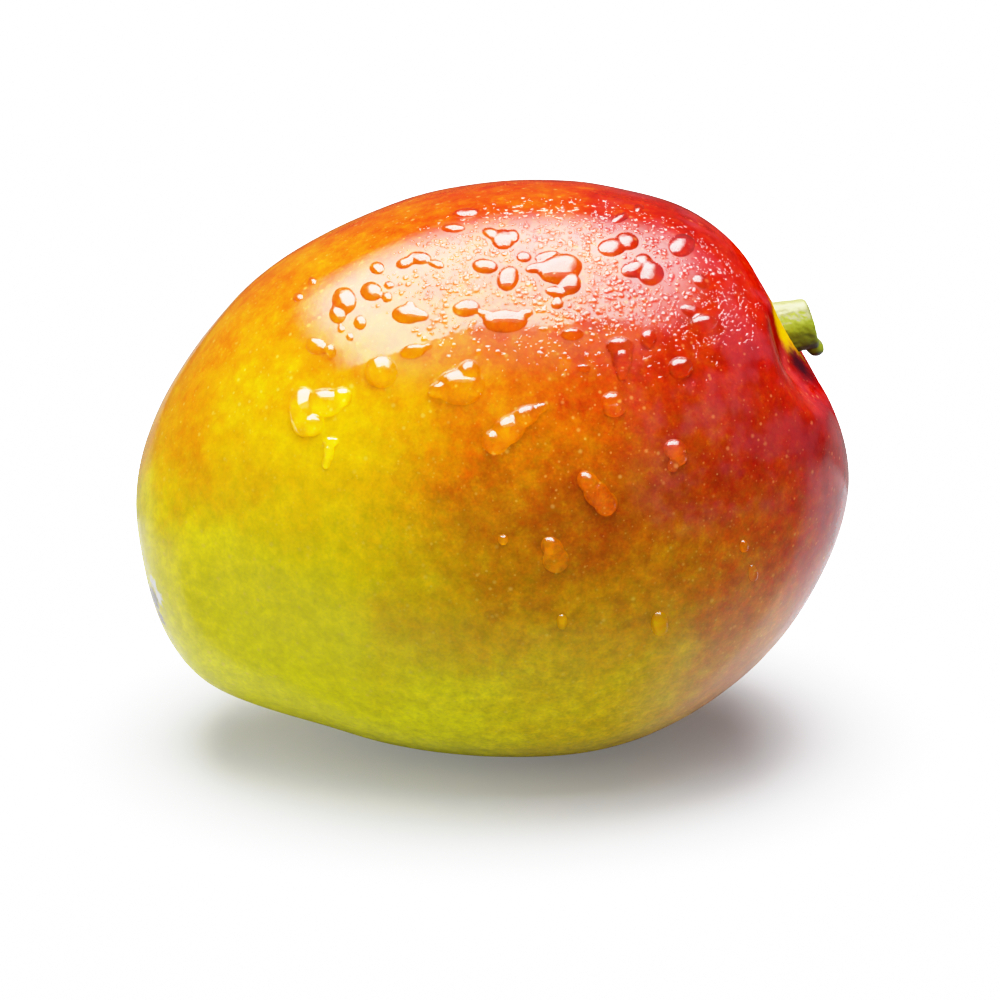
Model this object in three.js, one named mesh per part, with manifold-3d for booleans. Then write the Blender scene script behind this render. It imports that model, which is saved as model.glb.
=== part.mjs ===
// A ripe mango at rest on its belly, with the stub of its stem still on it.
// Millimetres, +Z up. +X runs from the apex to the stem end, and the X-Z plane halves the fruit
// between its two flat cheeks. The origin is at the bottom centre of the bounding box.
import * as THREE from "three";
import { mergeVertices } from "three/addons/utils/BufferGeometryUtils.js";
import Module from "manifold-3d";

// ---- Driving dimensions, in mm ------------------------------------------------------------
// The outline of the broad side, as [x, z] from the middle of the fruit. It starts under the
// stem, goes over the back to the scar at the apex, and returns along the belly.
const BACK_LINE = [
  [48.0, 25.5], // foot of the stem
  [33.5, 42.0],
  [17.0, 47.0],
  [-0.5, 47.5],
  [-19.0, 43.0],
  [-41.0, 30.0],
  [-57.0, 6.5],
];
const BELLY_LINE = [
  [-58.5, -14.5], // scar where the flower was
  [-49.5, -33.0],
  [-29.5, -41.5],
  [-10.0, -46.5],
  [21.0, -45.5],
  [45.5, -29.0],
  [57.5, -2.0],
];
// Thickness from cheek to cheek, as a share of the height at the same place.
const THICKNESS_SHARE = { stemEnd: 0.95, middle: 0.9, apex: 0.92 };
const CHEEK_SQUARENESS = 2.12; // 2 is a plain oval section; more makes the cheeks flatter
const LEAN = { stemEnd: -6.5, apex: -3 }; // both ends stand off the middle plane, to one cheek

const STEM_CAVITY = { depth: 3.2, radius: 8.5 }; // the hollow that the stem grows from
const STEM_CREASE = { depth: 2.2, away: 7, length: 5, width: 3 }; // fold under the stem
const APEX_HOLLOW = { depth: 0.7, radius: 8 }; // shallow dip around the scar
const APEX_SCAR = { depth: 0.9, length: 2.4, width: 1.3 };
const FLAT_SPOT_SAG = 0.8; // how far the flesh gives where the fruit rests

const STEM_TILT = THREE.MathUtils.degToRad(18); // above the horizontal
const STEM_LENGTH = 7.6;
const STEM_ROOT = 1.4; // how much of that length starts below the floor of the cavity
const STEM_CORNER = 1.6; // how much of each side the rounding of an edge takes
const STEM_TAPER = 0.95; // width of the cut end over width of the foot
const STEM_BEVEL = 0.7; // rounding of the cut end
// Section of the stem: [towards the far cheek, up], an uneven hexagon.
const STEM_SECTION = [
  [-4.0, 0.8],
  [-1.6, 4.2],
  [2.6, 3.9],
  [4.3, -0.6],
  [1.4, -4.2],
  [-3.1, -3.2],
];
const STEM_LIP = { radius: 1.5, up: -3.3, across: -0.8 }; // torn lip of bark at the cut end
const JOINT_GAP = 0.3; // between the stem and the skin it grows from

const RINGS = 56; // sections from the stem to the apex
const SIDES = 64; // points round each section
const RING_CROWDING = 0.08; // above 0 the sections stand closer together towards both ends

const SKIN_COLOUR = 0xd98a12;
const STEM_COLOUR = 0x7c9a1c;

// ---- Solids from meshes ---------------------------------------------------------------------
const wasm = await Module();
wasm.setup();

function solidOf(geometry) {
  const bare = geometry.clone();
  bare.deleteAttribute("normal");
  bare.deleteAttribute("uv");
  const merged = mergeVertices(bare, 1e-4);
  return new wasm.Manifold(
    new wasm.Mesh({
      numProp: 3,
      vertProperties: new Float32Array(merged.attributes.position.array),
      triVerts: new Uint32Array(merged.index.array),
    }),
  );
}

function geometryOf(solid) {
  const mesh = solid.getMesh();
  const geometry = new THREE.BufferGeometry();
  geometry.setAttribute("position", new THREE.BufferAttribute(mesh.vertProperties, 3));
  geometry.setIndex(new THREE.BufferAttribute(mesh.triVerts, 1));
  geometry.computeVertexNormals();
  return geometry;
}

// ---- Fruit ------------------------------------------------------------------------------------
const outline = new THREE.CatmullRomCurve3(
  [...BACK_LINE, ...BELLY_LINE].map(([x, z]) => new THREE.Vector3(x, 0, z)),
  true,
  "centripetal",
);
outline.arcLengthDivisions = 2000;

// The share of the outline's length that lies between the stem and a named point of it.
function shareOfOutline(pointIndex) {
  const lengths = outline.getLengths();
  const step = (lengths.length - 1) / outline.points.length;
  return lengths[Math.round(pointIndex * step)] / lengths.at(-1);
}
const SCAR_SHARE = shareOfOutline(BACK_LINE.length);

// How far the middle of a section stands off the plane, from the stem (0) to the apex (1).
function leanAt(t) {
  return LEAN.stemEnd * (1 - t) ** 3 + LEAN.apex * t ** 3;
}
const stemFoot = outline.getPointAt(0).setY(leanAt(0));
const scarPoint = outline.getPointAt(SCAR_SHARE).setY(leanAt(1));
const stemAxis = new THREE.Vector3(Math.cos(STEM_TILT), 0, Math.sin(STEM_TILT));
const stemUp = new THREE.Vector3(-Math.sin(STEM_TILT), 0, Math.cos(STEM_TILT));
const apexInwards = scarPoint.clone().setY(0).negate().normalize();
const apexAlong = new THREE.Vector3(-apexInwards.z, 0, apexInwards.x); // up the outline

// Thickness share at t, from the stem (0) to the apex (1): a parabola through the three.
function thicknessShare(t) {
  const { stemEnd, middle, apex } = THICKNESS_SHARE;
  return stemEnd * (1 - t) * (1 - 2 * t) + middle * 4 * t * (1 - t) + apex * t * (2 * t - 1);
}

function flattened(value) {
  return Math.sign(value) * Math.abs(value) ** (2 / CHEEK_SQUARENESS);
}

function bump(distance, reach) {
  return Math.exp(-((distance / reach) ** 2));
}

// Presses the hollows at both ends into a point of the smooth body.
function withHollows(point) {
  const fromStem = point.clone().sub(stemFoot);
  const cavity = STEM_CAVITY.depth * bump(fromStem.length(), STEM_CAVITY.radius);
  const below = -fromStem.dot(stemUp);
  const crease =
    STEM_CREASE.depth *
    bump(below - STEM_CREASE.away, STEM_CREASE.length) *
    bump(fromStem.y, STEM_CREASE.width) *
    bump(fromStem.dot(stemAxis), STEM_CAVITY.radius);
  const fromScar = point.clone().sub(scarPoint);
  const dip = APEX_HOLLOW.depth * bump(fromScar.length(), APEX_HOLLOW.radius);
  const scar =
    APEX_SCAR.depth *
    bump(fromScar.dot(apexAlong), APEX_SCAR.length) *
    bump(fromScar.y, APEX_SCAR.width) *
    bump(fromScar.dot(apexInwards), APEX_HOLLOW.radius);
  return point
    .clone()
    .addScaledVector(stemAxis, -(cavity + crease))
    .addScaledVector(apexInwards, dip + scar);
}

// One section of the fruit: an oval that touches the back line, the belly line and both cheeks.
function section(t) {
  const back = outline.getPointAt(t * SCAR_SHARE);
  const belly = outline.getPointAt(1 - t * (1 - SCAR_SHARE));
  const middle = back.clone().add(belly).multiplyScalar(0.5);
  const halfHeight = back.clone().sub(belly).multiplyScalar(0.5);
  const halfThickness = halfHeight.length() * thicknessShare(t);
  return Array.from({ length: SIDES }, (_, i) => {
    const turn = (i / SIDES) * 2 * Math.PI;
    const point = middle.clone().addScaledVector(halfHeight, flattened(Math.cos(turn)));
    point.y += leanAt(t) + halfThickness * flattened(Math.sin(turn));
    return withHollows(point);
  });
}

function fruitBody() {
  const points = [withHollows(stemFoot)];
  for (let ring = 1; ring < RINGS; ring += 1) {
    const even = ring / RINGS;
    points.push(...section(even - RING_CROWDING * Math.sin(2 * Math.PI * even)));
  }
  points.push(withHollows(scarPoint));

  const last = points.length - 1;
  const at = (ring, side) => 1 + (ring - 1) * SIDES + (side % SIDES);
  const faces = [];
  for (let side = 0; side < SIDES; side += 1) {
    faces.push(0, at(1, side + 1), at(1, side));
    for (let ring = 1; ring < RINGS - 1; ring += 1) {
      const [a, b] = [at(ring, side), at(ring, side + 1)];
      const [c, d] = [at(ring + 1, side), at(ring + 1, side + 1)];
      faces.push(a, b, c, b, d, c);
    }
    faces.push(last, at(RINGS - 1, side), at(RINGS - 1, side + 1));
  }
  const geometry = new THREE.BufferGeometry().setFromPoints(points);
  geometry.setIndex(faces);
  return geometry;
}

// The body with its underside cut off level, which leaves the flat spot that it rests on.
function fruitSolid() {
  const body = fruitBody();
  body.computeBoundingBox();
  const { min, max } = body.boundingBox;
  const size = max.clone().sub(min).multiplyScalar(2);
  const floor = new THREE.BoxGeometry(size.x, size.y, size.z);
  floor.translate(0, 0, min.z + FLAT_SPOT_SAG - size.z / 2);
  return solidOf(body).subtract(solidOf(floor));
}

// ---- Stem -------------------------------------------------------------------------------------
// A closed outline through the corners, each rounded by an arc that cuts off `cut` of each side.
function roundedOutline(corners, cut) {
  const shape = new THREE.Shape();
  corners.forEach((corner, i) => {
    const here = new THREE.Vector2(...corner);
    const before = new THREE.Vector2(...corners.at(i - 1));
    const after = new THREE.Vector2(...corners[(i + 1) % corners.length]);
    const start = here.clone().add(before.sub(here).setLength(cut));
    const end = here.clone().add(after.sub(here).setLength(cut));
    if (i === 0) shape.moveTo(start.x, start.y);
    else shape.lineTo(start.x, start.y);
    shape.quadraticCurveTo(here.x, here.y, end.x, end.y);
  });
  shape.closePath();
  return shape;
}

function stemSolid(fruit) {
  const stub = new THREE.ExtrudeGeometry(roundedOutline(STEM_SECTION, STEM_CORNER), {
    depth: STEM_LENGTH - STEM_BEVEL,
    steps: 6,
    curveSegments: 4,
    bevelThickness: STEM_BEVEL,
    bevelSize: STEM_BEVEL,
    bevelOffset: -STEM_BEVEL,
    bevelSegments: 3,
  });
  // Narrows towards the cut end.
  const position = stub.attributes.position;
  for (let i = 0; i < position.count; i += 1) {
    const width = 1 - (1 - STEM_TAPER) * (position.getZ(i) / STEM_LENGTH);
    position.setX(i, position.getX(i) * width);
    position.setY(i, position.getY(i) * width);
  }
  const lip = new THREE.SphereGeometry(STEM_LIP.radius, 16, 12);
  lip.translate(STEM_LIP.across, STEM_LIP.up, STEM_LENGTH - STEM_LIP.radius / 2);

  const foot = withHollows(stemFoot).addScaledVector(stemAxis, -STEM_ROOT);
  const across = new THREE.Vector3(0, 1, 0);
  const place = new THREE.Matrix4().makeBasis(across, stemUp, stemAxis).setPosition(foot);
  stub.applyMatrix4(place);
  lip.applyMatrix4(place);
  return solidOf(stub).add(solidOf(lip)).subtract(fruit);
}

// ---- Assembly ---------------------------------------------------------------------------------
const fruit = fruitSolid();
const stem = stemSolid(fruit);

const fruitMesh = new THREE.Mesh(
  geometryOf(fruit),
  new THREE.MeshStandardMaterial({ color: SKIN_COLOUR, roughness: 0.3, metalness: 0 }),
);
fruitMesh.name = "fruit";

const stemMesh = new THREE.Mesh(
  geometryOf(stem),
  new THREE.MeshStandardMaterial({ color: STEM_COLOUR, roughness: 0.5, metalness: 0 }),
);
stemMesh.name = "stem";
stemMesh.position.copy(stemAxis).multiplyScalar(JOINT_GAP);

const mango = new THREE.Group();
mango.add(fruitMesh, stemMesh);
const box = new THREE.Box3().setFromObject(mango, true);
const centre = box.getCenter(new THREE.Vector3());
mango.position.set(-centre.x, -centre.y, -box.min.z);

export default mango;
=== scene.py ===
# %% [markdown]
# # A wet mango on a white table
# This lesson dresses a packed mango: the fruit and the stub of its stem come from the packed
# model, and each gets a finer mesh and a finish of its own. Then the water goes on, as drops
# that are laid one by one and as a mist that is scattered by rule. A white table, an overhead
# softbox and a bright room behind light it.

import math
import random

import bpy
from mathutils import Matrix, Vector
from mathutils.bvhtree import BVHTree


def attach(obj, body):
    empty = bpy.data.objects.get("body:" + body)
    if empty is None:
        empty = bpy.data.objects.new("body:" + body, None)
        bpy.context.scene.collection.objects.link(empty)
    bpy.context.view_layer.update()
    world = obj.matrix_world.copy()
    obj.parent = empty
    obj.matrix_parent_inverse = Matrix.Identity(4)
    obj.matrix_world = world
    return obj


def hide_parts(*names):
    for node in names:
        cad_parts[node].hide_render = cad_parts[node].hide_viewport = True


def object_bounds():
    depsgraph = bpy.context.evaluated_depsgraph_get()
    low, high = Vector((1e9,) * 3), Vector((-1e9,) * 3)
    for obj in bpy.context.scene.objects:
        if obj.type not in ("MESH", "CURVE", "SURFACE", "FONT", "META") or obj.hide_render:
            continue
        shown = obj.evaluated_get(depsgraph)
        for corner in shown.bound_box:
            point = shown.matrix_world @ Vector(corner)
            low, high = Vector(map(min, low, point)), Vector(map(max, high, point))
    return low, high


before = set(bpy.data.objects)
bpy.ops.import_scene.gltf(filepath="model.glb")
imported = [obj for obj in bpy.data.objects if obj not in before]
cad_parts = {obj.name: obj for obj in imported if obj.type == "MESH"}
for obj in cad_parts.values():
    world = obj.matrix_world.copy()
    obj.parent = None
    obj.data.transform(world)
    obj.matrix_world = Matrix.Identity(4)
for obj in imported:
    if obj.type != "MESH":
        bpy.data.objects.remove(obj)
cad_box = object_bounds()
MM = 0.001
low, high = cad_box
middle = (low + high) / 2
half = (high - low) / 2
print("fruit and stem, in mm:", [round(side / MM, 1) for side in (high - low)])

# %% [markdown]
# ## The camera
# A long lens from a little above the fruit keeps its shape true. It comes first, because the
# larger drops are laid where they show in the picture. It stands nearly square to the broad
# cheek, a few degrees towards the apex.

# %% Stand the camera in front of the near cheek
PICTURE = 1000  # the picture's width and height, in pixels
LENS = 100.0
VIEW_AZIMUTH = math.radians(-4)
VIEW_ELEVATION = math.radians(18)
VIEW_DISTANCE = 458 * MM
# What the camera looks past, and how far below and right of it the picture's middle lies.
LOOKED_AT = middle + Vector((0.75, 1.26, -0.57)) * MM
AIM_RIGHT = 0.8 * MM
AIM_DOWN = 5.3 * MM

away = Vector(
    (
        math.sin(VIEW_AZIMUTH) * math.cos(VIEW_ELEVATION),
        -math.cos(VIEW_AZIMUTH) * math.cos(VIEW_ELEVATION),
        math.sin(VIEW_ELEVATION),
    )
)
to_right = Vector((math.cos(VIEW_AZIMUTH), math.sin(VIEW_AZIMUTH), 0))
to_top = away.cross(to_right)
eye = LOOKED_AT + away * VIEW_DISTANCE
aim = LOOKED_AT + to_right * AIM_RIGHT - to_top * AIM_DOWN

bpy.ops.object.camera_add(location=eye)
camera = bpy.context.object
camera.name = "camera"
camera.data.lens = LENS
camera.rotation_euler = (aim - eye).to_track_quat("-Z", "Y").to_euler()
bpy.context.scene.camera = camera
bpy.context.view_layer.update()
print("camera at, in mm:", [round(side / MM) for side in eye])

# %% [markdown]
# ## Small helpers
# Blender's operators act on whatever is selected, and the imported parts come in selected, so
# each piece starts by clearing the selection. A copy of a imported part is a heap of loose
# triangles until its doubled corners are merged.

# %% Select, copy and apply
def select_only(piece):
    bpy.ops.object.select_all(action="DESELECT")
    piece.select_set(True)
    bpy.context.view_layer.objects.active = piece


def merged_copy(node, name):
    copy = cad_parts[node].copy()
    copy.data = copy.data.copy()
    copy.name = name
    copy.hide_render = False
    bpy.context.scene.collection.objects.link(copy)
    copy.parent = None
    copy.matrix_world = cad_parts[node].matrix_world
    select_only(copy)
    bpy.ops.object.transform_apply(location=True, rotation=True, scale=True)
    bpy.ops.object.mode_set(mode="EDIT")
    bpy.ops.mesh.select_all(action="SELECT")
    bpy.ops.mesh.remove_doubles(threshold=0.001 * MM)
    bpy.ops.object.mode_set(mode="OBJECT")
    return copy


def with_modifier(piece, kind, **settings):
    select_only(piece)
    modifier = piece.modifiers.new(kind.title(), kind)
    for name, value in settings.items():
        setattr(modifier, name, value)
    bpy.ops.object.modifier_apply(modifier=modifier.name)


def clouds(name, size, depth=2):
    texture = bpy.data.textures.new(name, "CLOUDS")
    texture.noise_scale = size
    texture.noise_depth = depth
    return texture


# %% [markdown]
# ## The skin
# A mango's skin is one taut, smooth sheet with a shallow hollow for the stem and a small scar at
# the apex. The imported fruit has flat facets, which show in a glossy skin. A cube that is cut
# fine and rounded has even squares and no poles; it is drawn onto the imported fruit, then
# smoothed until the facets are gone, and gets the slight waves of a grown thing.

# %% Draw a rounded cube onto the fruit
SKIN_CUTS = 59
SKIN_OVERSIZE = 1.02  # the cube starts just outside the fruit
SMOOTHING_ROUNDS = 14
WAVE_SIZE = 16 * MM
WAVE_DEPTH = 0.35 * MM
SKIN_CLEARANCE = 0.12 * MM  # keeps the waves inside the fruit's box

fruit_form = merged_copy("fruit", "fruit_form")
bpy.ops.object.select_all(action="DESELECT")
bpy.ops.mesh.primitive_cube_add(size=2, location=(0, 0, 0))
skin = bpy.context.object
skin.name = "skin"
bpy.ops.object.mode_set(mode="EDIT")
bpy.ops.mesh.subdivide(number_cuts=SKIN_CUTS)
bpy.ops.transform.tosphere(value=1.0)
bpy.ops.object.mode_set(mode="OBJECT")
skin.scale = half * SKIN_OVERSIZE
skin.location = middle
bpy.ops.object.transform_apply(location=True, rotation=True, scale=True)
with_modifier(skin, "SHRINKWRAP", target=fruit_form, wrap_method="NEAREST_SURFACEPOINT")
with_modifier(skin, "SMOOTH", factor=0.5, iterations=SMOOTHING_ROUNDS)
with_modifier(skin, "SUBSURF", levels=1, render_levels=1)
with_modifier(
    skin,
    "DISPLACE",
    texture=clouds("waves", WAVE_SIZE, depth=1),
    texture_coords="LOCAL",
    strength=WAVE_DEPTH,
    mid_level=0.5 + SKIN_CLEARANCE / WAVE_DEPTH,
)

# %% Let the hollow of the stem run out over the near shoulder
RIM_DENT = {"spot": (47.5, -19.5, 70.5), "reach": (9, 10, 10), "depth": 3.4}  # in mm
bpy.ops.object.empty_add(location=Vector(RIM_DENT["spot"]) * MM)
dent_place = bpy.context.object
dent_place.scale = Vector(RIM_DENT["reach"]) * MM
bpy.context.view_layer.update()
dent_shape = bpy.data.textures.new("dent", "BLEND")
dent_shape.progression = "SPHERICAL"
with_modifier(
    skin,
    "DISPLACE",
    texture=dent_shape,
    texture_coords="OBJECT",
    texture_coords_object=dent_place,
    direction="NORMAL",
    strength=-RIM_DENT["depth"] * MM,
    mid_level=0.0,
)
with_modifier(skin, "SMOOTH", factor=0.5, iterations=4)
bpy.data.objects.remove(dent_place)
select_only(skin)
bpy.ops.object.shade_smooth()
bpy.data.objects.remove(fruit_form)
print("skin:", len(skin.data.polygons), "faces")

# %% [markdown]
# ## The stub of the stem
# The stem is green bark round a woody core, cut off short, with a torn lip at the cut. A copy of
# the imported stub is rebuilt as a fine, even mesh, softened and wrinkled.

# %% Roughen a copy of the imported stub
STEM_FOOT = Vector((48.7, -5.2, 72.2)) * MM  # the middle of the hollow
STEM_GRAIN = 0.16 * MM
BARK_WRINKLE = 1.1 * MM
BARK_DEPTH = 0.25 * MM

stem = merged_copy("stem", "stem_bark")
with_modifier(stem, "REMESH", mode="VOXEL", voxel_size=STEM_GRAIN)
with_modifier(stem, "SMOOTH", factor=0.5, iterations=3)
with_modifier(
    stem,
    "DISPLACE",
    texture=clouds("bark", BARK_WRINKLE, depth=3),
    texture_coords="LOCAL",
    strength=BARK_DEPTH,
    mid_level=0.45,
)

# %% Lean the stub down a little
STEM_DROOP = 0.2  # how far it drops for each mm it stands out
STEM_THINNER, STEM_TALLER = 0.97, 1.04
STEM_LOWER = 0.5 * MM
leans_from = Vector((48 * MM, 0, 72 * MM))
lean = Matrix.Diagonal((1, STEM_THINNER, STEM_TALLER, 1))
lean[2][0] = -STEM_DROOP
lean[2][3] = -STEM_LOWER
stem.data.transform(Matrix.Translation(-leans_from))
stem.data.transform(Matrix.Translation(leans_from) @ lean)
bpy.ops.object.shade_smooth()
print("stem:", len(stem.data.polygons), "faces")

# %% [markdown]
# ## Colours and nodes
# Colours are written as sRGB hex, as a paint chart gives them, and Blender mixes light in linear
# values, so one function turns the one into the other. Another adds a node with its settings and
# links in a single line.

# %% Turn hex into linear colour, and add nodes
def linear(hex_colour):
    channels = [int(hex_colour[i : i + 2], 16) / 255 for i in (1, 3, 5)]
    return tuple(
        c / 12.92 if c <= 0.04045 else ((c + 0.055) / 1.055) ** 2.4 for c in channels
    ) + (1.0,)


def add_node(tree, kind, inputs=None, output=0, **settings):
    """Adds a node and gives back one of its outputs. An input is a value or another output."""
    new = tree.nodes.new(kind)
    for name, value in settings.items():
        setattr(new, name, value)
    for socket, value in (inputs or {}).items():
        if isinstance(value, bpy.types.NodeSocket):
            tree.links.new(value, new.inputs[socket])
        else:
            new.inputs[socket].default_value = value
    return new.outputs[output] if new.outputs else new


def new_material(name):
    material = bpy.data.materials.new(name)
    material.use_nodes = True
    tree = material.node_tree
    shader = tree.nodes["Principled BSDF"]
    return material, tree, shader


# %% [markdown]
# ## The finish of the skin
# A ripe mango's skin is a yellow-green to golden ground under a red blush. The blush is a dye in
# the skin: where it is thin the ground shows through as amber and orange, where it is thick the
# skin is crimson, and over green ground it turns brown. So the finish is built the same way: a
# ground colour, an amount of blush, and the share of each light that the dye lets through, which
# is a power of that amount.

# %% Ground colour: green-yellow below, golden above
GROUND_BELOW = "#e7e200"
GROUND_ABOVE = (  # between these heights the ground turns to this colour
    (20 * MM, 50 * MM, "#ebda00"),
    (50 * MM, 72 * MM, "#f6d400"),
)
SHIFTS = (  # no edge of colour is straight: size of the waves in it, and how far they go
    (1.1 * MM, 1.2 * MM),
    (3.5 * MM, 3 * MM),
    (14 * MM, 9 * MM),
)
skin_wax, tree, skin_shader = new_material("waxy_mango_skin")
place = add_node(tree, "ShaderNodeTexCoord", output="Object")
uneven = place
for size, push in SHIFTS:
    wander = add_node(
        tree,
        "ShaderNodeTexNoise",
        {"Vector": place, "Scale": 1 / size, "Detail": 2.0},
        output="Color",
    )
    wander = add_node(
        tree, "ShaderNodeVectorMath", {0: wander, 1: (0.5, 0.5, 0.5)}, operation="SUBTRACT"
    )
    uneven = add_node(
        tree,
        "ShaderNodeVectorMath",
        {0: wander, 1: (2 * push, 2 * push, 2 * push), 2: uneven},
        operation="MULTIPLY_ADD",
    )
    if (size, push) == SHIFTS[0]:
        uneven_finely = uneven  # for small spots
height = add_node(tree, "ShaderNodeSeparateXYZ", {0: uneven}, output="Z")
ground = linear(GROUND_BELOW)
for start, end, colour in GROUND_ABOVE:
    share = add_node(
        tree,
        "ShaderNodeMapRange",
        {"Value": height, "From Min": start, "From Max": end},
    )
    ground = add_node(
        tree,
        "ShaderNodeMix",
        {"Factor": share, 6: ground, 7: linear(colour)},
        output=2,
        data_type="RGBA",
    )

# %% Blush: washes of dye, each with its strength and where it comes in
# A wash comes in along a direction, between two distances from the fruit's foot, in mm.
ALONG = (1, 0, 0)
UP = (0, 0, 1)
TO_BACK = tuple(Vector((-0.5 / half.x, 0, 0.87 / half.z)) * 47 * MM)
TO_SHOULDER = tuple(Vector((0.75 / half.x, 0, 0.66 / half.z)) * 47 * MM)
WASHES = {
    "belly": (0.14, (ALONG, -16, 30)),
    "amber": (0.08, (UP, 41, 58)),
    "flank": (0.12, ((-1, 0, 0), 33, 49), (UP, 45, 55)),
    "orange": (0.29, (ALONG, -30, 5), ((-0.3, 0, 1), 20, 47)),
    "crimson": (0.46, (ALONG, -3, 41), (UP, 45, 72)),
    "stem end": (0.53, (ALONG, 21, 45)),
    "rim": (0.76, (ALONG, 44, 56)),
    "crown": (0.1, (UP, 64, 78)),
    "back": (0.34, (TO_BACK, 67, 91), (ALONG, -64, -20)),
    "shoulder": (0.3, (TO_SHOULDER, 67, 76)),
}
blush = 0.0
for strength, *ways_in in WASHES.values():
    wash = strength
    for way, start, end in ways_in:
        how_far = add_node(
            tree,
            "ShaderNodeVectorMath",
            {0: uneven, 1: way},
            output="Value",
            operation="DOT_PRODUCT",
        )
        wash = add_node(
            tree,
            "ShaderNodeMapRange",
            {"Value": how_far, "From Min": start * MM, "From Max": end * MM, "To Max": wash},
            interpolation_type="SMOOTHSTEP",
        )
    blush = add_node(tree, "ShaderNodeMath", {0: wash, 1: blush}, operation="ADD")

# %% Mottling: the blush comes in patches of 9 mm, blotches of 2 mm and grains
MOTTLING = ((9 * MM, 0.2), (2.2 * MM, 0.2), (0.8 * MM, 0.12))  # size, and share more or less
for size, amount in MOTTLING:
    patches = add_node(
        tree,
        "ShaderNodeTexNoise",
        {"Vector": place, "Scale": 1 / size, "Detail": 2.0, "Roughness": 0.6},
        output="Fac",
    )
    shift = add_node(
        tree,
        "ShaderNodeMapRange",
        {
            "Value": patches,
            "From Min": 0.25,
            "From Max": 0.75,
            "To Min": 1 - amount,
            "To Max": 1 + amount,
        },
    )
    blush = add_node(tree, "ShaderNodeMath", {0: shift, 1: blush}, operation="MULTIPLY")

# %% Flecks: here and there the dye has not taken, and the ground shows
FLECK_SIZE = 1.5 * MM
FLECKS = 0.16
fleck_noise = add_node(
    tree,
    "ShaderNodeTexNoise",
    {"Vector": place, "Scale": 1 / FLECK_SIZE, "Detail": 3.0, "Roughness": 0.65},
    output="Fac",
)
taken = add_node(
    tree,
    "ShaderNodeMapRange",
    {"Value": fleck_noise, "From Min": 0.53, "From Max": 0.68, "To Min": 1.0, "To Max": 1 - FLECKS},
    interpolation_type="SMOOTHSTEP",
)
blush = add_node(tree, "ShaderNodeMath", {0: blush, 1: taken}, operation="MULTIPLY")

# %% Pores: pale dots up to half a millimetre wide, uneven in size, that the dye leaves out
PORES = ((2.1 * MM, 0.17, 0.45), (1.1 * MM, 0.18, 0.32))  # spacing, size as a share, strength
pores = 0.0
for spacing, size, strength in PORES:
    pore = add_node(
        tree, "ShaderNodeTexVoronoi", {"Vector": place, "Scale": 1 / spacing}, output="Distance"
    )
    chance = add_node(
        tree, "ShaderNodeSeparateColor", {0: pore.node.outputs["Color"]}, output="Red"
    )
    width = add_node(
        tree, "ShaderNodeMath", {0: chance, 1: size, 2: 0.09}, operation="MULTIPLY_ADD"
    )
    dot = add_node(
        tree,
        "ShaderNodeMapRange",
        {"Value": pore, "From Min": width, "From Max": 0.05, "To Max": strength},
        interpolation_type="SMOOTHSTEP",
    )
    pores = add_node(tree, "ShaderNodeMath", {0: dot, 1: pores}, operation="MAXIMUM")
kept = add_node(
    tree, "ShaderNodeMath", {0: pores, 1: -1.0, 2: 1.0}, operation="MULTIPLY_ADD"
)
blush = add_node(tree, "ShaderNodeMath", {0: blush, 1: kept}, operation="MULTIPLY")
blush = add_node(tree, "ShaderNodeMath", {0: blush, 1: 0.0}, operation="MAXIMUM")

# %% Lay the dye over the ground
# A full blush lets through these shares of red, green and blue light. Low down, where the skin
# under it is still green, less red comes back and it looks brown; near the stem it is clearest.
DYE_LOW = (0.304, 0.021, 0.01)
DYE_HIGH = (0.423, 0.023, 0.01)
DYE_NEAR_STEM = (0.6, 0.061, 0.02)
OVER_GREEN = (-0.3, 0, 1)
GREEN_ENDS = (54 * MM, 64 * MM)
STEM_END_STARTS = (19 * MM, 46 * MM)
height_over_green, along = [
    add_node(
        tree,
        "ShaderNodeVectorMath",
        {0: uneven, 1: way},
        output="Value",
        operation="DOT_PRODUCT",
    )
    for way in (OVER_GREEN, ALONG)
]
passed = []
for share_low, share_high, share_near_stem in zip(DYE_LOW, DYE_HIGH, DYE_NEAR_STEM):
    share = add_node(
        tree,
        "ShaderNodeMapRange",
        {
            "Value": height_over_green,
            "From Min": GREEN_ENDS[0],
            "From Max": GREEN_ENDS[1],
            "To Min": share_low,
            "To Max": share_high,
        },
    )
    share = add_node(
        tree,
        "ShaderNodeMapRange",
        {
            "Value": along,
            "From Min": STEM_END_STARTS[0],
            "From Max": STEM_END_STARTS[1],
            "To Min": share,
            "To Max": share_near_stem,
        },
        interpolation_type="SMOOTHSTEP",
    )
    passed.append(add_node(tree, "ShaderNodeMath", {0: share, 1: blush}, operation="POWER"))
dye = add_node(tree, "ShaderNodeCombineColor", dict(enumerate(passed)))
skin_colour = add_node(
    tree,
    "ShaderNodeMix",
    {"Factor": 1.0, 6: ground, 7: dye},
    output=2,
    data_type="RGBA",
    blend_type="MULTIPLY",
)

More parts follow.
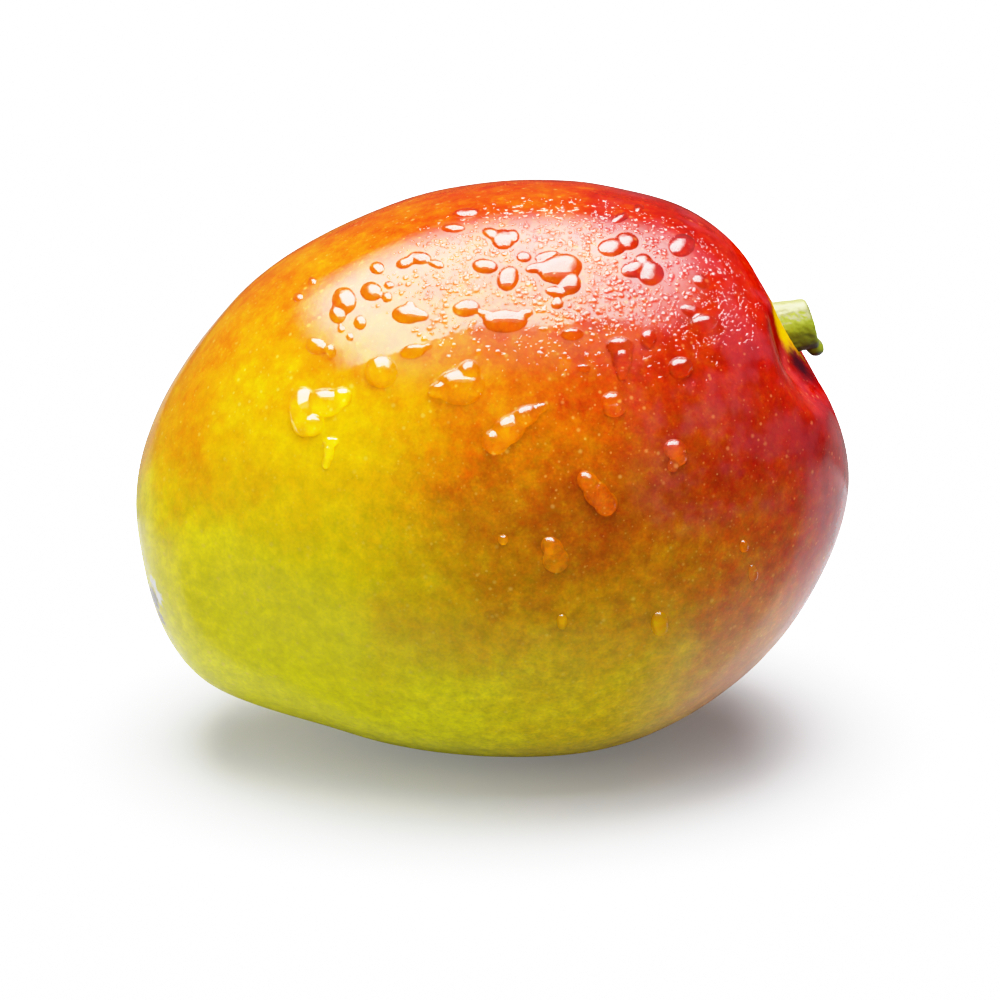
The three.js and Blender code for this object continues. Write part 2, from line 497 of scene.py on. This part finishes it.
# %% Uneven depth: cells of 3 mm down to 0.4 mm are lighter and darker, all over
DYED_START, DYED_END = -30 * MM, 0 * MM
CELLS = (  # size, and share lighter or darker on plain skin and on dyed skin
    (2.6 * MM, 0.08, 0.13),
    (1.1 * MM, 0.07, 0.12),
    (0.45 * MM, 0.06, 0.1),
)
for size, plain, dyed in CELLS:
    cells = add_node(
        tree,
        "ShaderNodeTexNoise",
        {"Vector": place, "Scale": 1 / size, "Detail": 1.0},
        output="Fac",
    )
    lighter, darker = [
        add_node(
            tree,
            "ShaderNodeMapRange",
            {
                "Value": along,
                "From Min": DYED_START,
                "From Max": DYED_END,
                "To Min": 1 + plain * sign,
                "To Max": 1 + dyed * sign,
            },
        )
        for sign in (1, -1)
    ]
    depth = add_node(
        tree,
        "ShaderNodeMapRange",
        {"Value": cells, "From Min": 0.3, "From Max": 0.7, "To Min": darker, "To Max": lighter},
    )
    skin_colour = add_node(
        tree, "ShaderNodeVectorMath", {0: skin_colour, 1: depth}, operation="MULTIPLY"
    )

# %% Pores are corky, so they are paler than the skin
CORK = "#f0b284"
CORK_SHARE = 0.3
corky = add_node(tree, "ShaderNodeMath", {0: pores, 1: CORK_SHARE}, operation="MULTIPLY")
skin_colour = add_node(
    tree,
    "ShaderNodeMix",
    {"Factor": corky, 6: skin_colour, 7: linear(CORK)},
    output=2,
    data_type="RGBA",
)

# %% Bloom: a thin wax lies in patches on the red side and dulls it to rose
BLOOM = "#b44450"
BLOOM_AMOUNT = 0.26
BLOOM_SIZE = 8 * MM
BLOOM_STARTS = ((ALONG, 12, 24), (UP, 46, 54))  # in mm, as for a wash
bloom_noise = add_node(
    tree,
    "ShaderNodeTexNoise",
    {"Vector": place, "Scale": 1 / BLOOM_SIZE, "Detail": 3.0, "Roughness": 0.6},
    output="Fac",
)
bloom = add_node(
    tree,
    "ShaderNodeMapRange",
    {"Value": bloom_noise, "From Min": 0.44, "From Max": 0.62, "To Max": BLOOM_AMOUNT},
    interpolation_type="SMOOTHSTEP",
)
for way, start, end in BLOOM_STARTS:
    how_far = add_node(
        tree,
        "ShaderNodeVectorMath",
        {0: uneven, 1: way},
        output="Value",
        operation="DOT_PRODUCT",
    )
    bloom = add_node(
        tree,
        "ShaderNodeMapRange",
        {"Value": how_far, "From Min": start * MM, "From Max": end * MM, "To Max": bloom},
        interpolation_type="SMOOTHSTEP",
    )
skin_colour = add_node(
    tree,
    "ShaderNodeMix",
    {"Factor": bloom, 6: skin_colour, 7: linear(BLOOM)},
    output=2,
    data_type="RGBA",
)

# %% Spots round the stem and at the apex, some of them painted light and shade
# Four lie round the stem: three are its yellow ring, and the fourth is painted shadow that the
# stem casts on the skin below it. Four make the scar at the apex: two are its grey and brown,
# and two are painted highlights. The last is painted light, a pale glow low on the stem end
# where the white table throws light back onto the skin.
SPOTS = (  # the middle in mm, the radius where it fades out and starts, the colour, its share
    ((48.7, -5.2, 72.2), 7.6, 4.6, "#e6a800", 1.0),
    ((45.0, -13.0, 75.5), 5.0, 1.4, "#f0b400", 1.0),
    ((45.5, -12.5, 72.0), 4.0, 1.0, "#f0b400", 1.0),
    # painted shadow of the stem, on the skin below it
    ((48.4, -13.5, 67.6), 5.6, 0.8, "#340c14", 1.0),
    ((-55.4, -12.0, 30.3), 3.0, 1.3, "#857b70", 1.0),
    ((-54.4, -12.6, 27.2), 2.0, 0.8, "#98906c", 1.0),
    # two painted highlights on the apex scar
    ((-54.8, -14.0, 33.6), 1.7, 0.7, "#f6f4f0", 1.0),
    ((-54.3, -15.2, 31.6), 1.7, 0.7, "#f6f4f0", 1.0),
    # painted light: a pale glow low on the stem end, where the white table throws light back
    ((40.0, -26.0, 20.0), 27.0, 3.0, "#fbe0bc", 0.33),
)
for spot, outside, inside, colour, amount in SPOTS:
    spot = tuple(Vector(spot) * MM)
    distance = add_node(
        tree,
        "ShaderNodeVectorMath",
        {0: uneven_finely, 1: spot},
        output="Value",
        operation="DISTANCE",
    )
    share = add_node(
        tree,
        "ShaderNodeMapRange",
        {
            "Value": distance,
            "From Min": outside * MM,
            "From Max": inside * MM,
            "To Max": amount,
        },
        interpolation_type="SMOOTHSTEP",
    )
    skin_colour = add_node(
        tree,
        "ShaderNodeMix",
        {"Factor": share, 6: skin_colour, 7: linear(colour)},
        output=2,
        data_type="RGBA",
    )

# %% Under water the skin looks deeper and brighter, for a drop gathers light
GATHERED_BELOW, GATHERED_ABOVE = 1.9, 1.1  # on the flank, where light comes in flat, and above
FLANK_TO_CROWN = (58 * MM, 74 * MM)
under_water = add_node(tree, "ShaderNodeLightPath", output="Is Transmission Ray")
gathered = add_node(
    tree,
    "ShaderNodeMapRange",
    {
        "Value": height,
        "From Min": FLANK_TO_CROWN[0],
        "From Max": FLANK_TO_CROWN[1],
        "To Min": GATHERED_BELOW,
        "To Max": GATHERED_ABOVE,
    },
)
gathered = add_node(
    tree, "ShaderNodeMapRange", {"Value": under_water, "To Min": 1.0, "To Max": gathered}
)
skin_colour = add_node(
    tree, "ShaderNodeVectorMath", {0: skin_colour, 1: gathered}, operation="MULTIPLY"
)
tree.links.new(skin_colour, skin_shader.inputs["Base Color"])

# %% Wax: wet and sharp on the crown, dry and softer on the flanks
skin_shader.inputs["IOR"].default_value = 1.45
WET_ROUGHNESS, DRY_ROUGHNESS = 0.07, 0.22
DRY_TO_WET = (52 * MM, 66 * MM)  # heights
WET_GLOSS, DRY_GLOSS = 0.5, 0.45
DULL_TO_GLOSSY = (50 * MM, 64 * MM)
WAX_PATCH = 3 * MM
HOLLOW_ROUGHNESS = 0.38  # water has not run into the hollow of the stem
HOLLOW_EDGE = (16 * MM, 24 * MM)  # distances from the stem's foot
HOLLOW_GLOSS_EDGE = (17 * MM, 27 * MM)  # inside it nothing is mirrored, not even the stem
GRAIN_SIZE, GRAIN_DEPTH = 0.9 * MM, 0.06 * MM
wax_noise = add_node(
    tree,
    "ShaderNodeTexNoise",
    {"Vector": place, "Scale": 1 / WAX_PATCH, "Detail": 4.0},
    output="Fac",
)
wax_share = add_node(
    tree,
    "ShaderNodeMapRange",
    {"Value": wax_noise, "From Min": 0.3, "From Max": 0.7, "To Min": 0.8, "To Max": 1.2},
)
roughness = add_node(
    tree,
    "ShaderNodeMapRange",
    {
        "Value": height,
        "From Min": DRY_TO_WET[0],
        "From Max": DRY_TO_WET[1],
        "To Min": DRY_ROUGHNESS,
        "To Max": WET_ROUGHNESS,
    },
)
roughness = add_node(
    tree, "ShaderNodeMath", {0: roughness, 1: wax_share}, operation="MULTIPLY"
)
to_stem = add_node(
    tree,
    "ShaderNodeVectorMath",
    {0: place, 1: STEM_FOOT},
    output="Value",
    operation="DISTANCE",
)
roughness = add_node(
    tree,
    "ShaderNodeMapRange",
    {
        "Value": to_stem,
        "From Min": HOLLOW_EDGE[0],
        "From Max": HOLLOW_EDGE[1],
        "To Min": HOLLOW_ROUGHNESS,
        "To Max": roughness,
    },
)
tree.links.new(roughness, skin_shader.inputs["Roughness"])
gloss = add_node(
    tree,
    "ShaderNodeMapRange",
    {
        "Value": height,
        "From Min": DULL_TO_GLOSSY[0],
        "From Max": DULL_TO_GLOSSY[1],
        "To Min": DRY_GLOSS,
        "To Max": WET_GLOSS,
    },
)
gloss = add_node(
    tree,
    "ShaderNodeMapRange",
    {
        "Value": to_stem,
        "From Min": HOLLOW_GLOSS_EDGE[0],
        "From Max": HOLLOW_GLOSS_EDGE[1],
        "To Min": 0.0,
        "To Max": gloss,
    },
)
gloss = add_node(  # skin that is seen through a drop mirrors nothing
    tree, "ShaderNodeMapRange", {"Value": under_water, "To Min": gloss, "To Max": 0.0}
)
tree.links.new(gloss, skin_shader.inputs["Specular IOR Level"])
grain = add_node(
    tree,
    "ShaderNodeTexNoise",
    {"Vector": place, "Scale": 1 / GRAIN_SIZE, "Detail": 2.0},
    output="Fac",
)
relief = add_node(tree, "ShaderNodeMath", {0: pores, 1: 0.5, 2: grain}, operation="MULTIPLY_ADD")
bump = add_node(
    tree,
    "ShaderNodeBump",
    {"Strength": 0.25, "Distance": GRAIN_DEPTH, "Height": relief},
)
tree.links.new(bump, skin_shader.inputs["Normal"])
skin.data.materials.clear()
skin.data.materials.append(skin_wax)
print("skin finish:", len(tree.nodes), "nodes")

# %% [markdown]
# ## The finish of the stem
# Fresh bark is yellow-green. Where it faces up it is painted pale, as a painted highlight of the
# softbox above, and below it is painted darker, as painted shade.

# %% Green bark, painted pale on top as a highlight and painted dark below as shade
BARK_PAINTED_SHADE, BARK_GREEN, BARK_PAINTED_HIGHLIGHT = "#2c2a04", "#8a960c", "#80824a"
FIBRE_SIZE = 0.7 * MM
bark, tree, bark_shader = new_material("green_bark")
place = add_node(tree, "ShaderNodeTexCoord", output="Object")
facing = add_node(tree, "ShaderNodeTexCoord", output="Normal")
facing_up = add_node(tree, "ShaderNodeSeparateXYZ", {0: facing}, output="Z")
fibres = add_node(
    tree,
    "ShaderNodeTexNoise",
    {"Vector": place, "Scale": 1 / FIBRE_SIZE, "Detail": 4.0, "Roughness": 0.7},
    output="Fac",
)
facing_up_and_fibres = add_node(
    tree, "ShaderNodeMath", {0: fibres, 1: 0.5, 2: facing_up}, operation="MULTIPLY_ADD"
)
# painted highlight: where the bark faces up, broken by its fibres, it is painted pale
painted_highlight = add_node(
    tree,
    "ShaderNodeMapRange",
    {"Value": facing_up_and_fibres, "From Min": 0.7, "From Max": 0.8},
)
# painted shade: the more the bark faces down, the darker it is painted
dark = add_node(
    tree,
    "ShaderNodeMapRange",
    {"Value": facing_up, "From Min": -0.6, "From Max": 0.15},
)
green = add_node(
    tree,
    "ShaderNodeMix",
    {"Factor": dark, 6: linear(BARK_PAINTED_SHADE), 7: linear(BARK_GREEN)},
    output=2,
    data_type="RGBA",
)
bark_colour = add_node(
    tree,
    "ShaderNodeMix",
    {"Factor": painted_highlight, 6: green, 7: linear(BARK_PAINTED_HIGHLIGHT)},
    output=2,
    data_type="RGBA",
)
tree.links.new(bark_colour, bark_shader.inputs["Base Color"])
bark_shader.inputs["Roughness"].default_value = 0.45
stem.data.materials.clear()
stem.data.materials.append(bark)

# %% [markdown]
# ## Drops of water
# Water stands on wax in flat beads: a small one is nearly round, and where several have run
# together the outline is lobed. Such a puddle could be sculpted, but it is easier to lay a
# flattened ball on the skin for each lobe, and to let a voxel remesh melt the balls together.
# Each lobe is given as it shows in the picture, and a ray from the camera finds its place on
# the skin, so every drop sits on the skin whichever side it is seen from.

# %% Find the skin behind a point of the picture
SENSOR = camera.data.sensor_width / LENS
view_right, view_up, view_back = (camera.matrix_world.col[i].xyz for i in range(3))


def ray_through(x, y):
    across = (x / PICTURE - 0.5) * SENSOR
    down = (y / PICTURE - 0.5) * SENSOR
    return (view_right * across - view_up * down - view_back).normalized()


def skin_at(x, y):
    _, spot, normal, _ = skin.ray_cast(eye, ray_through(x, y))
    return spot, normal


def on_plane(x, y, spot, normal):
    ray = ray_through(x, y)
    return eye + ray * ((spot - eye).dot(normal) / ray.dot(normal))


# %% Lay the drops, lobe by lobe
# A lobe is its middle in the picture, half its width and half its height there, in pixels,
# and how far it is turned anticlockwise, in degrees.
DROPS = {
    "left group": (
        (344, 300, 11, 12, 0),
        (338, 314, 8, 9, 0),
        (371, 291, 10, 9, 0),
        (389, 285, 5, 4, 0),
        (387, 297, 5, 5, 0),
        (360, 323, 6, 7, 0),
        (341, 329, 4, 4, 0),
        (350, 337, 4, 4, 0),
        (312, 281, 4, 4, 0),
        (298, 297, 5, 4, 30),
    ),
    "left edge of the shine": (
        (316, 346, 10, 8, -20),
        (331, 351, 5, 7, 0),
        (377, 268, 7, 6, 0),
        (405, 263, 9, 5, 20),
        (419, 258, 11, 6, 0),
        (436, 264, 11, 4, -15),
    ),
    "hat": ((407, 314, 14, 9, 0), (419, 315, 9, 6, -10), (410, 306, 5, 5, 0)),
    "middle": (
        (466, 308, 13, 8, 8),
        (485, 266, 12, 7, -5),
        (453, 228, 11, 4, 0),
        (466, 213, 12, 4, 5),
        (524, 257, 7, 5, 0),
        (508, 278, 10, 12, -20),
        (557, 304, 6, 5, 0),
    ),
    "round": ((381, 371, 15, 15, 0),),
    "slipper": ((413, 351, 12, 7, 10), (427, 347, 6, 3, 20)),
    "big drop": ((442, 389, 15, 8, 12), (460, 386, 22, 17, 0), (468, 373, 11, 13, -20)),
    "yellow puddle": (
        (303, 411, 13, 22, 0),
        (312, 424, 11, 11, 0),
        (325, 402, 17, 13, 0),
        (342, 396, 9, 9, 0),
    ),
    "trickle": ((331, 441, 9, 5, 0), (329, 452, 5, 9, 0), (326, 463, 4, 6, 0)),
    "funnel": ((492, 234, 10, 5, -20), (503, 239, 11, 9, 0), (513, 236, 6, 7, 0)),
    "smile": ((505, 321, 20, 11, 0), (487, 315, 9, 5, -20), (524, 314, 9, 5, 20)),
    "boot": (
        (560, 268, 20, 13, 10),
        (536, 268, 10, 5, 10),
        (570, 284, 10, 10, 0),
        (556, 292, 13, 5, -10),
        (547, 256, 17, 5, 10),
    ),
    "triangle": ((612, 247, 13, 8, 0), (627, 241, 11, 8, -10)),
    "anvil": ((635, 269, 13, 8, 10), (651, 273, 12, 11, 0), (643, 262, 9, 8, 0)),
    "right group": (
        (682, 245, 12, 10, 0),
        (702, 281, 9, 6, -30),
        (704, 324, 13, 9, 0),
        (692, 311, 11, 6, -20),
        (648, 339, 8, 9, 0),
        (681, 367, 12, 10, 10),
        (572, 334, 11, 6, 0),
        (544, 329, 8, 3, 0),
        (584, 368, 9, 4, -10),
        (620, 218, 9, 4, 20),
        (639, 208, 5, 5, 0),
    ),
    "tooth": ((620, 346, 13, 9, 0), (622, 359, 10, 12, 0), (622, 373, 6, 7, 0)),
    "bud": ((612, 400, 10, 8, 0), (614, 408, 11, 8, 0)),
    "slanting drop": (
        (496, 441, 13, 12, 0),
        (508, 430, 17, 13, 35),
        (524, 416, 15, 10, 30),
        (540, 408, 9, 5, 15),
    ),
    "capsule": ((588, 482, 11, 9, -50), (597, 494, 14, 11, -50), (606, 504, 11, 11, 0)),
    "tear": ((552, 547, 11, 9, -30), (556, 560, 12, 12, 0)),
    "wedge": ((675, 449, 10, 9, 0), (679, 457, 8, 8, 0), (673, 466, 5, 6, 0)),
    "low drops": (
        (503, 540, 5, 5, 0),
        (744, 546, 4, 6, 0),
        (660, 624, 8, 11, 0),
        (562, 622, 5, 8, 0),
        (753, 573, 4, 8, 0),
    ),
}
DROP_SPREAD = 1.2  # makes up for the part that is sunk, and for the smoothing
DROP_RISE = (1.1, 0.48)  # height over half width: hanging on the flank, lying on the crown
TALLEST_DROP = (2.7 * MM, 1.5 * MM)  # of which some is sunk
SUNK = 0.35
FLAT_ABOVE = 0.62  # how far the skin must look up, for a drop to lie flat on it
STANDS_PROUD = 0.8 * MM
LONGEST_STRETCH = 1.7  # a lobe on a slope runs no further down it than this
DROP_GRAIN = 0.2 * MM
WOBBLE_SIZE, WOBBLE_DEPTH = 2.5 * MM, 0.25 * MM

lobes = []
for drop, outline in DROPS.items():
    for x, y, half_width, half_height, turn in outline:
        spot, normal = skin_at(x, y)
        axes = []
        for reach, angle in ((half_width, turn), (half_height, turn + 90)):
            edge_x = x + reach * math.cos(math.radians(angle))
            edge_y = y - reach * math.sin(math.radians(angle))
            axes.append(on_plane(edge_x, edge_y, spot, normal) - spot)
        shorter = min(axis.length for axis in axes)
        axes = [axis.normalized() * min(axis.length, shorter * LONGEST_STRETCH) for axis in axes]
        axes = [axis * DROP_SPREAD for axis in axes]
        half_width = math.sqrt(axes[0].length * axes[1].length)
        lies_flat = normal.z > FLAT_ABOVE
        rise = min(DROP_RISE[lies_flat] * half_width, TALLEST_DROP[lies_flat])
        room = (spot.y - low.y) / max(-normal.y, 0.1)  # what the fruit's box leaves in front
        rise = min(rise, (room + STANDS_PROUD) / (1 - SUNK))
        bpy.ops.object.select_all(action="DESELECT")
        bpy.ops.mesh.primitive_ico_sphere_add(subdivisions=3, radius=1, location=(0, 0, 0))
        lobe = bpy.context.object
        middle_of_lobe = spot - normal * rise * SUNK
        place = Matrix((*axes, normal * rise)).transposed().to_4x4()
        lobe.data.transform(Matrix.Translation(middle_of_lobe) @ place)
        lobes.append(lobe)

# %% Melt the lobes of each drop together
select_only(lobes[0])
for lobe in lobes:
    lobe.select_set(True)
bpy.ops.object.join()
drops = bpy.context.object
drops.name = "water_drops"
bpy.ops.object.mode_set(mode="EDIT")
bpy.ops.mesh.select_all(action="SELECT")
bpy.ops.mesh.normals_make_consistent(inside=False)
bpy.ops.object.mode_set(mode="OBJECT")
with_modifier(drops, "REMESH", mode="VOXEL", voxel_size=DROP_GRAIN)
with_modifier(
    drops,
    "DISPLACE",
    texture=clouds("surface_tension", WOBBLE_SIZE),
    texture_coords="LOCAL",
    strength=WOBBLE_DEPTH,
    mid_level=0.5,
)
with_modifier(drops, "SMOOTH", factor=0.5, iterations=6)
bpy.ops.object.shade_smooth()
print("drops:", len(lobes), "lobes,", len(drops.data.polygons), "faces")

# %% [markdown]
# ## Mist on the crown
# Between the drops the crown is covered with beads of about a millimetre and less. They are too
# many to lay by hand: a seeded draw picks spots on the skin, keeps those that lie on the crown
# and clear of the drops, and sets a copy of one small bead on each.

# %% Scatter the beads
BEADS = 2600
BEAD_RADII = (0.16 * MM, 0.62 * MM)
CROWN = ((-20, 41), (-38, -6), 62)  # from apex to stem, from cheek to cheek, and above, in mm
BEAD_RISE = 0.4
BEAD_SUNK = 0.3
MOSTLY_SMALL = 1.9  # the higher, the fewer large beads
DRY_ROUND_STEM = 17 * MM
CLEAR_OF_DROPS = 0.1 * MM
SEED = 11
random.seed(SEED)
tree_of_drops = BVHTree.FromPolygons(
    [v.co for v in drops.data.vertices], [p.vertices for p in drops.data.polygons]
)
faces = skin.data.polygons
bpy.ops.object.select_all(action="DESELECT")
bpy.ops.mesh.primitive_ico_sphere_add(subdivisions=2, radius=1, location=(0, 0, 0))
bead = bpy.context.object
bpy.ops.object.mode_set(mode="EDIT")
bpy.ops.mesh.select_all(action="SELECT")
bpy.ops.mesh.bisect(
    plane_co=(0, 0, 0), plane_no=(0, 0, -1), use_fill=True, clear_outer=True
)
bpy.ops.object.mode_set(mode="OBJECT")
beads = [bead]
(near_apex, near_stem), (front, back), lowest = CROWN
wettest = Vector(((near_apex + near_stem) / 2, (front + back) / 2, 0)) * MM
reach = Vector(((near_stem - near_apex) / 2, (back - front) / 2, 1)) * MM
while len(beads) <= BEADS:
    face = faces[random.randrange(len(faces))]
    radius = BEAD_RADII[0] * (BEAD_RADII[1] / BEAD_RADII[0]) ** (random.random() ** MOSTLY_SMALL)
    luck = random.random()
    corners = [skin.data.vertices[i].co for i in face.vertices]
    spot = corners[0].lerp(corners[1], random.random())
    spot = spot.lerp(corners[2], random.random())
    away_x = (spot.x - wettest.x) / reach.x
    away_y = (spot.y - wettest.y) / reach.y
    if spot.z < lowest * MM or away_x**2 + away_y**2 > luck:
        continue
    if (spot - STEM_FOOT).length < DRY_ROUND_STEM:
        continue
    if tree_of_drops.find_nearest(spot, 1.2 * radius + CLEAR_OF_DROPS)[0]:
        continue
    if tree_of_drops.ray_cast(spot, face.normal, 2 * TALLEST_DROP[0])[0]:
        continue  # it would be inside a drop
    copy = bead.copy()
    copy.data = bead.data.copy()
    bpy.context.scene.collection.objects.link(copy)
    turn = face.normal.to_track_quat("Z", "Y").to_matrix().to_4x4()
    size = Matrix.Diagonal((radius, radius, radius * BEAD_RISE, 1))
    sunk = Matrix.Translation(spot - face.normal * radius * BEAD_RISE * BEAD_SUNK)
    copy.data.transform(sunk @ turn @ size)
    beads.append(copy)
bpy.data.objects.remove(beads.pop(0))
select_only(beads[0])
for copy in beads:
    copy.select_set(True)
bpy.ops.object.join()
mist = bpy.context.object
mist.name = "water_mist"
bpy.ops.object.shade_smooth()
print("mist:", BEADS, "beads,", len(mist.data.polygons), "faces")

# %% [markdown]
# ## The finish of the water
# Clear water bends light at 1.333 and hides nothing, so a drop takes its colour from the skin
# under it, and is seen by what it reflects and by the dark and bright lines at its rim. A coat
# strengthens what it reflects.

# %% Clear water
water, tree, water_shader = new_material("clear_water")
water_shader.inputs["Base Color"].default_value = linear("#ffffff")
water_shader.inputs["Roughness"].default_value = 0.0
water_shader.inputs["IOR"].default_value = 1.333
water_shader.inputs["Transmission Weight"].default_value = 1.0
water_shader.inputs["Specular IOR Level"].default_value = 1.0
water_shader.inputs["Coat Weight"].default_value = 0.75
water_shader.inputs["Coat Roughness"].default_value = 0.0
beaded = water.copy()
beaded.name = "fine_water"
thin_shader = beaded.node_tree.nodes["Principled BSDF"]
thin_shader.inputs["Coat Weight"].default_value = 0.6
for piece, finish in ((drops, water), (mist, beaded)):
    piece.data.materials.clear()
    piece.data.materials.append(finish)
mist.visible_shadow = False  # beads this small hardly bend the light on its way to the skin
mist.visible_diffuse = False

# %% [markdown]
# ## Table and light
# The fruit stands on a sheet of white paper, near its front edge, on a white table. A softbox
# hangs over it and does nearly all the lighting: the skin reflects it from the top, and the
# paper throws it back from behind and from the sides. The room itself stays dim, so that the
# near cheek keeps its full colour. A softbox is far brighter than a picture can show, so its
# reflections and its light are set apart, as two lights in one place. The floor is set apart in
# the same way: each sheet is seen by one kind of ray alone.

# %% Lay the paper on the table
WHITE = (1, 1, 1, 1)
SHEETS = {  # left, right, front, back and height in mm; grey; glow; the rays that see it
    "table": (-3000, 3000, -3000, 3000, 0, "#b2b3b6", 0.12, ("camera",)),
    "paper": (-230, 330, -78, 110, -0.1, "#b4b5b8", 0.08, ("diffuse",)),
    "paper_mirrored": (-230, 330, -20, 110, 0.1, "#b6b7ba", 0.0, ("glossy",)),
    "paper_further_back": (-420, 480, 110, 600, 0, "#000000", 0.45, ("glossy",)),
}
for name, (left, right, front, back, level, grey, glow, seen_by) in SHEETS.items():
    bpy.ops.object.select_all(action="DESELECT")
    bpy.ops.mesh.primitive_plane_add(size=1)
    sheet = bpy.context.object
    sheet.name = name
    sheet.scale = ((right - left) * MM, (back - front) * MM, 1)
    sheet.location = Vector(((left + right) / 2, (front + back) / 2, level)) * MM
    bpy.ops.object.transform_apply(location=True, rotation=True, scale=True)
    finish, tree, shader = new_material("matt_" + name)
    shader.inputs["Base Color"].default_value = linear(grey)
    shader.inputs["Roughness"].default_value = 0.9
    shader.inputs["Specular IOR Level"].default_value = 0.0
    shader.inputs["Emission Color"].default_value = WHITE
    shader.inputs["Emission Strength"].default_value = glow
    sheet.data.materials.append(finish)
    for kind in ("camera", "diffuse", "glossy", "transmission", "shadow"):
        setattr(sheet, "visible_" + kind, kind in seen_by)

# %% Bleach the table to pure white away from the fruit
BLEACH_START = 34 * MM
BLEACH_END = 90 * MM
BLEACH = 2.5
WIDER = 1.3  # the shadow is this much wider than it is deep
GLOW_LEFT, GLOW_RIGHT = 0.3, 0.1  # light that creeps in under the fruit
tree = bpy.data.materials["matt_table"].node_tree
spot = add_node(tree, "ShaderNodeTexCoord", output="Object")
squeezed = add_node(
    tree, "ShaderNodeVectorMath", {0: spot, 1: (1 / WIDER, 1, 1)}, operation="MULTIPLY"
)
distance = add_node(
    tree, "ShaderNodeVectorMath", {0: squeezed}, output="Value", operation="LENGTH"
)
glow = add_node(
    tree,
    "ShaderNodeMapRange",
    {
        "Value": add_node(tree, "ShaderNodeSeparateXYZ", {0: spot}, output="X"),
        "From Min": -40 * MM,
        "From Max": 40 * MM,
        "To Min": GLOW_LEFT,
        "To Max": GLOW_RIGHT,
    },
)
bleach = add_node(
    tree,
    "ShaderNodeMapRange",
    {
        "Value": distance,
        "From Min": BLEACH_START,
        "From Max": BLEACH_END,
        "To Min": glow,
        "To Max": BLEACH,
    },
    interpolation_type="SMOOTHSTEP",
)
tree.links.new(bleach, tree.nodes["Principled BSDF"].inputs["Emission Strength"])

# %% Hang the softbox, and a fill light in front
LIGHTS = {  # spot and size in mm, radiance, and whether it shows in reflections alone
    "softbox_glow": ((0, 20, 655), (600, 800), 9.0, False),
    "softbox_shine": ((-60, -30, 650), (1160, 1340), 15.0, True),
    "front_fill": ((60, -600, 650), (900, 500), 2.2, False),
}
for name, (spot, size, radiance, mirrored) in LIGHTS.items():
    spot, size = Vector(spot) * MM, Vector(size) * MM
    bpy.ops.object.select_all(action="DESELECT")
    bpy.ops.object.light_add(type="AREA", location=spot)
    light = bpy.context.object
    light.name = name
    if name == "front_fill":
        light.rotation_euler = (middle - spot).to_track_quat("-Z", "Y").to_euler()
    light.data.shape = "RECTANGLE"
    light.data.size, light.data.size_y = size
    light.data.energy = math.pi * radiance * size[0] * size[1]
    light.visible_camera = False
    light.visible_glossy = mirrored
    light.visible_diffuse = not mirrored
    light.visible_transmission = not mirrored

# %% Let the softbox fade towards its sides and back
# The lamp inside lights its cloth from the middle, so only the front edge is crisp. A faint
# spill on the ceiling carries on in front of it.
shine = bpy.data.objects["softbox_shine"].data
shine.use_nodes = True
tree = shine.node_tree
across = add_node(tree, "ShaderNodeNewGeometry", output="Parametric")
along_x = add_node(tree, "ShaderNodeSeparateXYZ", {0: across}, output="X")
along_y = along_x.node.outputs["Y"]
SHINE_FADES = (  # share of the way across, where it is dark and where it is bright
    (along_x, 0.0, 0.21, 0.0),
    (along_x, 1.0, 0.7, 0.0),
    (along_y, 1.0, 0.62, 0.0),
    (along_y, 0.3, 0.312, 0.1),
    (along_y, 0.0, 0.3, 0.0),
)
fade = 1.0
for way, dark, bright, least in SHINE_FADES:
    edge = add_node(
        tree,
        "ShaderNodeMapRange",
        {"Value": way, "From Min": dark, "From Max": bright, "To Min": least},
        interpolation_type="SMOOTHSTEP",
    )
    fade = add_node(tree, "ShaderNodeMath", {0: edge, 1: fade}, operation="MULTIPLY")
tree.links.new(fade, tree.nodes["Emission"].inputs["Strength"])

# %% Light the room
ROOM_FILL = 0.2  # on matt things
ROOM_SHINE = 0.08  # in reflections
ROOM_SEEN = 3.0  # behind the fruit, as white as can be
world = bpy.data.worlds.new("room")
bpy.context.scene.world = world
world.use_nodes = True
tree = world.node_tree
tree.nodes.clear()
ray = add_node(tree, "ShaderNodeLightPath", output="Is Camera Ray").node.outputs
mirrored = add_node(
    tree,
    "ShaderNodeMath",
    {0: ray["Is Glossy Ray"], 1: ray["Is Transmission Ray"]},
    operation="SUBTRACT",
    use_clamp=True,
)
brightness = add_node(
    tree,
    "ShaderNodeMapRange",
    {"Value": mirrored, "To Min": ROOM_FILL, "To Max": ROOM_SHINE},
)
brightness = add_node(
    tree,
    "ShaderNodeMapRange",
    {"Value": ray["Is Camera Ray"], "To Min": brightness, "To Max": ROOM_SEEN},
)
room = add_node(tree, "ShaderNodeBackground", {"Strength": brightness})
add_node(tree, "ShaderNodeOutputWorld", {"Surface": room})
print("lit by", [light.name for light in bpy.data.lights])

# %% Let bright light roll off, as film does
# Without this, a bright yellow would lose its red and green at the same point, and turn white.
BRIGHTEST = 2.5  # the light that shows as pure white
ROLL_OFF = {0.25: 0.25, 0.5: 0.5, 1.0: 0.85, 1.5: 0.955}  # light, and how bright it shows
view = bpy.context.scene.view_settings
view.view_transform = "Standard"
view.use_curve_mapping = True
view.curve_mapping.white_level = (BRIGHTEST, BRIGHTEST, BRIGHTEST)
film = view.curve_mapping.curves[3]
for light_in, shown in ROLL_OFF.items():
    film.points.new(light_in / BRIGHTEST, shown)
view.curve_mapping.update()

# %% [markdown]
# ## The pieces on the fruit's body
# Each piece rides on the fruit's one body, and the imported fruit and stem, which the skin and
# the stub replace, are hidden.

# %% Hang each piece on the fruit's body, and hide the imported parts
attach(skin, "root")
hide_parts("fruit")
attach(stem, "root")
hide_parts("stem")
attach(drops, "root")
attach(mist, "root")
